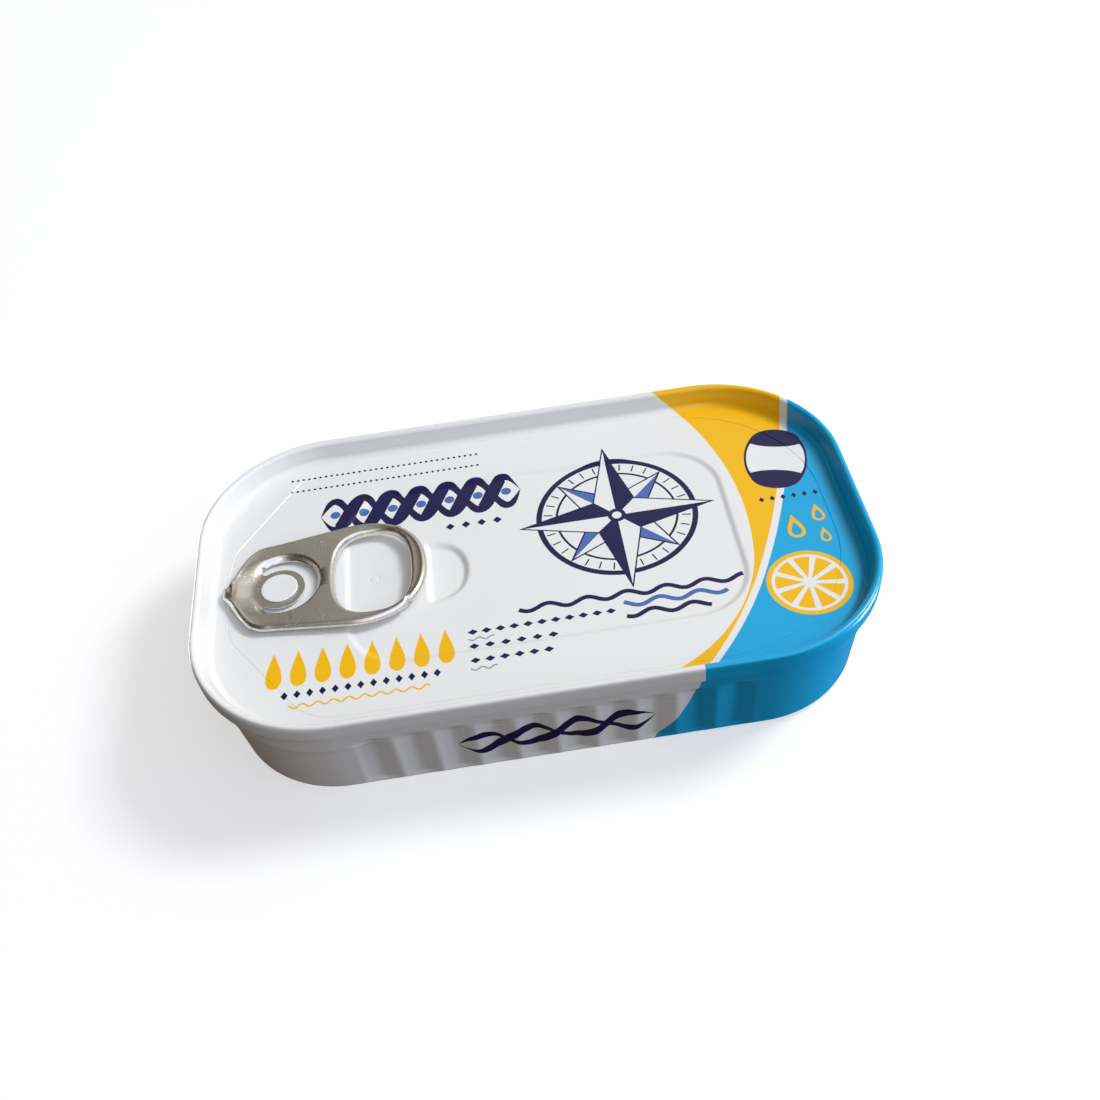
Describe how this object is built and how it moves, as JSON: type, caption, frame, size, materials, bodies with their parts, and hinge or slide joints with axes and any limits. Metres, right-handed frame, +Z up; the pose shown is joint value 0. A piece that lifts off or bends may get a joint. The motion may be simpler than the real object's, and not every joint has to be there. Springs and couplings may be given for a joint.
{
  "type": "sardine tin",
  "caption": "Shut flat oblong fish tin with a fluted drawn body, a double-seamed easy-open lid and a ring pull.",
  "frame": {"origin": "on the ground under the middle of the tin", "axes": "+Z up out of the lid, X along the tin's long side with the ring pull at the -X end, Y across the tin"},
  "size_m": [0.106, 0.062, 0.0203],
  "materials": {
    "body_lacquer": "white and cyan printed lacquer on tinplate, semi-gloss",
    "lid_lacquer": "white, yellow and cyan printed lacquer on tinplate, gloss",
    "ring_tinplate": "bare tinplate, satin with fine scratches"
  },
  "bodies": {
    "root": {"can_body": "body_lacquer", "lid": "lid_lacquer", "pull_ring": "ring_tinplate"}
  },
  "joints": []
}
